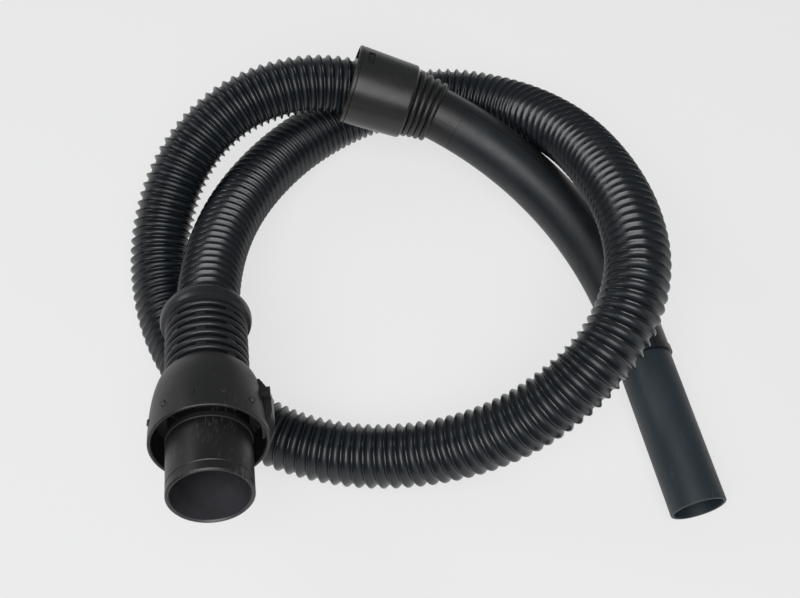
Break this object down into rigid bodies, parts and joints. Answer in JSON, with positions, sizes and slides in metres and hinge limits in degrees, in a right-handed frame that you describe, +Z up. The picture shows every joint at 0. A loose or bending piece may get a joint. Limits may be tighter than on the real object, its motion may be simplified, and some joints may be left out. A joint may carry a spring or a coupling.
{
  "type": "vacuum cleaner suction hose",
  "caption": "Corrugated suction hose lying in a loop, with a bell-shaped machine connector and latch at one end and a curved hand grip with a bleed slider and tube end at the other.",
  "frame": {"origin": "on the floor, under the middle of the box round the fittings (the loose hose left out)", "axes": "+Z up; the connector's mouth and the tube end point towards -Y, the connector on the -X side"},
  "size_m": [0.3839, 0.3746, 0.1268],
  "materials": {
    "hose_plastic": "blow moulded, glossy corrugations",
    "cuff_plastic": "moulded, satin",
    "sleeve_plastic": "flexible moulding, satin",
    "connector_plastic": "moulded, satin, lightly scuffed",
    "latch_plastic": "moulded, satin",
    "collar_plastic": "moulded, satin with a soft sheen",
    "grip_outer_plastic": "moulded, fine lengthwise grain",
    "grip_inner_plastic": "moulded, smooth, bluish black",
    "slider_plastic": "moulded, satin",
    "tube_plastic": "moulded, smooth, bluish black, scuffed",
    "seal_rubber": "matt",
    "pin_steel": "ground",
    "spring_steel": "drawn wire"
  },
  "bodies": {
    "hose_line": {"vacuum_hose": "hose_plastic", "machine_hose_cuff": "cuff_plastic", "machine_swivel_seal": "seal_rubber", "bend_relief_sleeve": "sleeve_plastic", "handle_hose_cuff": "cuff_plastic", "handle_swivel_seal": "seal_rubber"},
    "connector": {"inlet_spigot": "connector_plastic", "inlet_seal": "seal_rubber", "connector_shroud": "connector_plastic", "machine_swivel_ring": "cuff_plastic", "latch_pin": "pin_steel"},
    "latch": {"latch_lever": "latch_plastic", "latch_spring": "spring_steel"},
    "handle": {"handle_swivel_ring": "cuff_plastic", "swivel_collar": "collar_plastic", "grip_outer_shell": "grip_outer_plastic", "grip_inner_shell": "grip_inner_plastic", "suction_duct": "cuff_plastic", "end_tube": "tube_plastic"},
    "slider": {"bleed_slider": "slider_plastic"}
  },
  "joints": [
    {"name": "connector_swivel", "type": "hinge", "parent": "hose_line", "child": "connector", "pos_m": [-0.13839, -0.1022, 0.08329], "axis": [0.1341, -0.9543, 0.2672], "continuous": true},
    {"name": "latch_press", "type": "hinge", "parent": "connector", "child": "latch", "pos_m": [-0.1032, -0.10504, 0.08543], "axis": [-0.0372, 0.2646, 0.9636], "range_deg": [0, 6], "stiffness_Nm_per_rad": 0.3, "springref_deg": -2.86},
    {"name": "handle_swivel", "type": "hinge", "parent": "hose_line", "child": "handle", "pos_m": [-0.04252, 0.14465, 0.06506], "axis": [0.949, -0.1673, -0.2672], "range_deg": [0, 8]},
    {"name": "bleed_slide", "type": "hinge", "parent": "handle", "child": "slider", "pos_m": [-0.08082, -0.07176, 0.08385], "axis": [-0.2765, -0.0344, -0.9604], "range_deg": [0, 2.56]}
  ]
}
